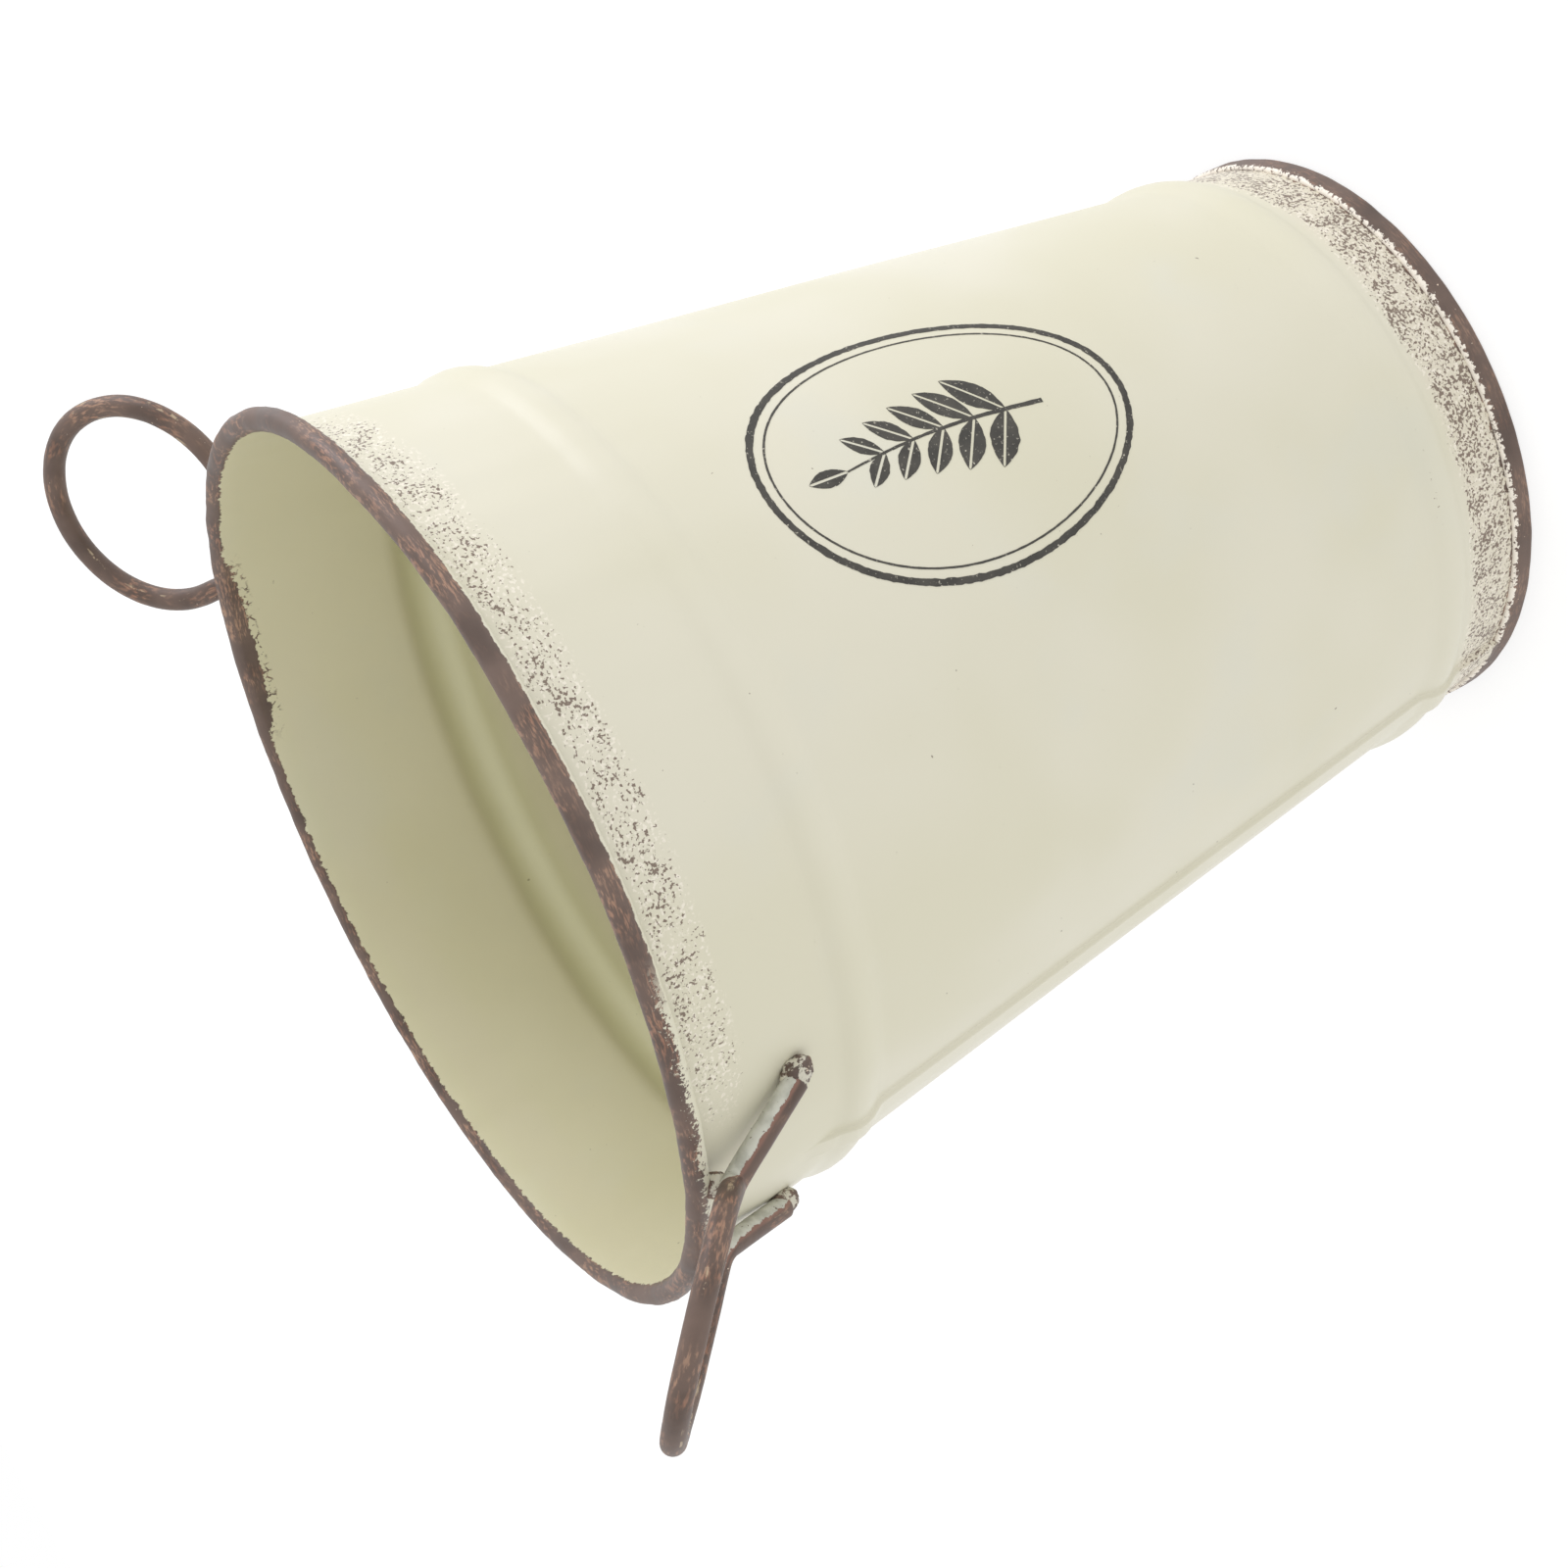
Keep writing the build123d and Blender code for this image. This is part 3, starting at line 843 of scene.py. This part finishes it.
def lumpy_bead(place, radius, stretch, seed):
    """Vertices and faces of a rough ball, longer along one direction."""
    rings, sectors = 18, 30
    directions = [Vector((0, 0, 1))]
    for i in range(1, rings):
        tilt = math.pi * i / rings
        for j in range(sectors):
            turn = 2 * math.pi * j / sectors
            level = Vector((math.cos(turn), math.sin(turn), 0)) * math.sin(tilt)
            directions.append(level + Vector((0, 0, math.cos(tilt))))
    directions.append(Vector((0, 0, -1)))
    vertices = []
    for out in directions:
        lumps = 0.16 * noise.noise(out * 2.1 + Vector((seed, 0, 0)))
        pits = 0.09 * noise.noise(out * 6 + Vector((0, seed, 0)))
        bulge = stretch * out.dot(stretch.normalized())
        vertices.append(place + out * radius * (1 + lumps + pits) + bulge)
    faces = []
    last_ring, last = 1 + (rings - 2) * sectors, len(vertices) - 1
    for j in range(sectors):
        k = (j + 1) % sectors
        faces.append((0, 1 + j, 1 + k))
        for ring in range(1, last_ring, sectors):
            faces.append((ring + j, ring + sectors + j, ring + sectors + k, ring + k))
        faces.append((last_ring + j, last, last_ring + k))
    return vertices, faces


def kept_off_the_wall(point):
    """A point moved out to the face of the wall if it lies inside it."""
    level = Vector((point.x, point.y, 0))
    face = wall_face(point.z) + FIT
    if level.length < face:
        level *= face / level.length
    return Vector((level.x, level.y, point.z))


def weld_paint():
    made, tree, shader = material("weld_paint")
    place = add(tree, "TexCoord").outputs["Object"]
    brown = finish_group(tree, WORN_BROWN, {"Place": place, "Stroke": place, "Copper": 0.9, "Chips": 1.0})
    pitted = grain(tree, place, 900, 4, 0.7)
    is_cream = ramp(tree, grain(tree, place, 420, 4, 0.7), 0.47, 0.53)
    painted = blend_colours(tree, is_cream, brown["Color"], colour(0.58, 0.55, 0.45))
    painted = blend_colours(tree, ramp(tree, pitted, 0.36, 0.30), painted, colour(0.05, 0.035, 0.03))
    finished(tree, shader, painted, brown["Roughness"], pitted, 0.7, 0.0003)
    return made


def join_beads(name, beads, finish):
    vertices, faces = [], []
    for bead_vertices, bead_faces in beads:
        start = len(vertices)
        vertices += [kept_off_the_wall(point) for point in bead_vertices]
        faces += [tuple(start + corner for corner in face) for face in bead_faces]
    return show(name, vertices, faces, finish)


WELD_PAINT = weld_paint()
for name, sides in handle_sides.items():
    foot_beads, rim_beads = [], []
    for number, (_, elbow, foot) in enumerate(sides):
        seed = 10.0 * number + (5.0 if name == "left" else 0.0)
        along_leg = (foot - elbow).normalized()
        low = foot + along_leg * 0.0001
        low = low - Vector((low.x, low.y, 0)).normalized() * FOOT_WELD_SINK
        foot_beads.append(lumpy_bead(low, FOOT_WELD_R * 0.86, along_leg * FOOT_WELD_STRETCH, seed))
        turn = math.atan2(elbow.y, elbow.x)
        bead = Vector((bead_middle.x * math.cos(turn), bead_middle.x * math.sin(turn), bead_middle.y))
        towards = elbow - bead
        gap = towards.length - WIRE_R - BEAD_R
        if gap > RIM_WELD_GAP:
            continue
        between = bead + towards.normalized() * (BEAD_R + gap / 2)
        stretch = towards.normalized() * RIM_WELD_STRETCH
        rim_beads.append(lumpy_bead(between, gap / 2 + RIM_WELD_HOLD, stretch, seed + 2))
    for kind, beads in (("foot_welds", foot_beads), ("rim_welds", rim_beads)):
        welds = join_beads(f"{name}_{kind}_rough", beads, WELD_PAINT)
        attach(welds, "root")
        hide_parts(f"{name}_{kind}")


# ---- Badge: black ink pressed on the front with a worn rubber stamp ----
# An oval double ring round a sprig of leaves, with uneven edges where the ink ran short.
BADGE_TURN = math.radians(261.0)
BADGE_Z = 0.103
BADGE_WIDE = 0.0236
BADGE_TALL = 0.0336
INK = 0.00006


def on_the_wall(x, y):
    """A place on the front of the wall: x round to the right and y up from the badge's middle."""
    z = BADGE_Z + y
    radius = wall_face(z) + INK
    turn = BADGE_TURN + x / wall_face(BADGE_Z)
    radius += wall_unevenness(turn, z)
    radius *= 1 + rim_sway(turn) * smooth_step(SWAY_FROM, wall_high[2], z) / wall_high[0]
    return Vector((radius * math.cos(turn), radius * math.sin(turn), z))


def inked_line(points, width, seed, closed=False):
    """Faces of a stamped line whose two edges wander, with points (x, y) and a width for each."""
    vertices, faces = [], []
    count = len(points)
    for i, (x, y) in enumerate(points):
        before = points[i - 1] if (i or closed) else points[i]
        after = points[(i + 1) % count] if (i + 1 < count or closed) else points[i]
        run = Vector((after[0] - before[0], after[1] - before[1])).normalized()
        half = width(i / count) / 2
        for side in (-1, 1):
            wander = noise.noise(Vector((x * 900, y * 900, seed + side)))
            wander += 0.6 * noise.noise(Vector((x * 3000, y * 3000, seed - side)))
            reach = side * max(0.00003, half * (1 + 0.28 * wander))
            vertices.append(on_the_wall(x - run.y * reach, y + run.x * reach))
    for i in range(count if closed else count - 1):
        k = (i + 1) % count
        faces.append((2 * i, 2 * k, 2 * k + 1, 2 * i + 1))
    return vertices, faces


def oval(wide, tall, count=360):
    return [(wide * math.cos(2 * math.pi * i / count), tall * math.sin(2 * math.pi * i / count))
            for i in range(count)]


def leaf(foot, angle, length, seed):
    """An outlined leaf with a midrib: a filled shape from two bowed edges."""
    steps = 24
    ahead = Vector((math.cos(angle), math.sin(angle)))
    aside = Vector((-ahead.y, ahead.x))
    vertices, faces = [], []
    for i in range(steps + 1):
        share = i / steps
        bow = length * 0.21 * math.sin(math.pi * share) ** 0.85
        for side in (-1, 1):
            wander = 1 + 0.10 * noise.noise(Vector((share * 9, seed, side)))
            spot = foot + ahead * length * share + aside * side * (bow * wander + 0.00004)
            rib = foot + ahead * length * share + aside * side * (min(bow, 0.00021) + 0.00001)
            vertices += [on_the_wall(rib.x, rib.y), on_the_wall(spot.x, spot.y)]
    for i in range(steps):
        for side in (0, 2):
            a, b = 4 * i + side, 4 * (i + 1) + side
            corners = (a, a + 1, b + 1, b)
            faces.append(corners if side == 0 else tuple(reversed(corners)))
    return vertices, faces


def as_film(vertices, faces):
    """A closed film of ink: the same faces again underneath, and a wall along every open edge."""
    count = len(vertices)
    under = [point - Vector((point.x, point.y, 0)).normalized() * INK * 0.8 for point in vertices]
    edges = {(face[i - 1], face[i]) for face in faces for i in range(len(face))}
    walls = [(b, a, a + count, b + count) for a, b in sorted(edges) if (b, a) not in edges]
    below = [tuple(count + corner for corner in reversed(face)) for face in faces]
    return vertices + under, faces + below + walls


def badge_ink():
    made, tree, shader = material("badge_ink", 0.55)
    place = add(tree, "TexCoord").outputs["Object"]
    thin = ramp(tree, grain(tree, place, 1900, 3, 0.65), 0.62, 0.70)
    cloud = ramp(tree, grain(tree, place, 300, 3), 0.35, 0.7)
    ink = blend_colours(tree, cloud, colour(0.030, 0.027, 0.021), colour(0.058, 0.053, 0.043))
    painted = blend_colours(tree, thin, ink, colour(0.50, 0.47, 0.38))
    finished(tree, shader, painted, ramp(tree, cloud, 0, 1, 0.45, 0.6), cloud, 0.2, 0.00004)
    return made


OUTER_RING = 0.00115
INNER_RING = 0.00035
RING_GAP = 0.0022
STEM_TALL = 0.019
STEM_SWAY = 0.0016
LEAF_PAIRS = 5


def on_the_stem(share):
    """A place on the swaying stem, from its foot at 0 to its tip at 1."""
    return (STEM_SWAY * math.sin(3.0 * share), -STEM_TALL + 2 * STEM_TALL * share)


badge_parts = [
    inked_line(oval(BADGE_WIDE, BADGE_TALL), lambda share: OUTER_RING, 1.0, closed=True),
    inked_line(oval(BADGE_WIDE - RING_GAP, BADGE_TALL - RING_GAP), lambda share: INNER_RING, 2.0,
               closed=True),
]
stem = [on_the_stem(i / 60) for i in range(61)]
badge_parts.append(inked_line(stem, lambda share: 0.0008 * (1.1 - 0.7 * share), 3.0))
for pair in range(LEAF_PAIRS):
    leaf_foot = Vector(on_the_stem(0.18 + 0.155 * pair))
    size = 0.0115 - 0.0011 * pair
    spread = 0.95 - 0.05 * pair
    for side in (-1, 1):
        badge_parts.append(leaf(leaf_foot, math.pi / 2 - side * spread, size, 20.0 + pair * 2 + side))
badge_parts.append(leaf(Vector(stem[-1]), math.pi / 2, 0.0072, 40.0))

badge_vertices, badge_faces = [], []
for part_vertices, part_faces in badge_parts:
    start = len(badge_vertices)
    badge_vertices += part_vertices
    badge_faces += [tuple(start + corner for corner in face) for face in part_faces]
badge = show("front_badge", *as_film(badge_vertices, badge_faces), badge_ink(), smooth=False)
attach(badge, "root")
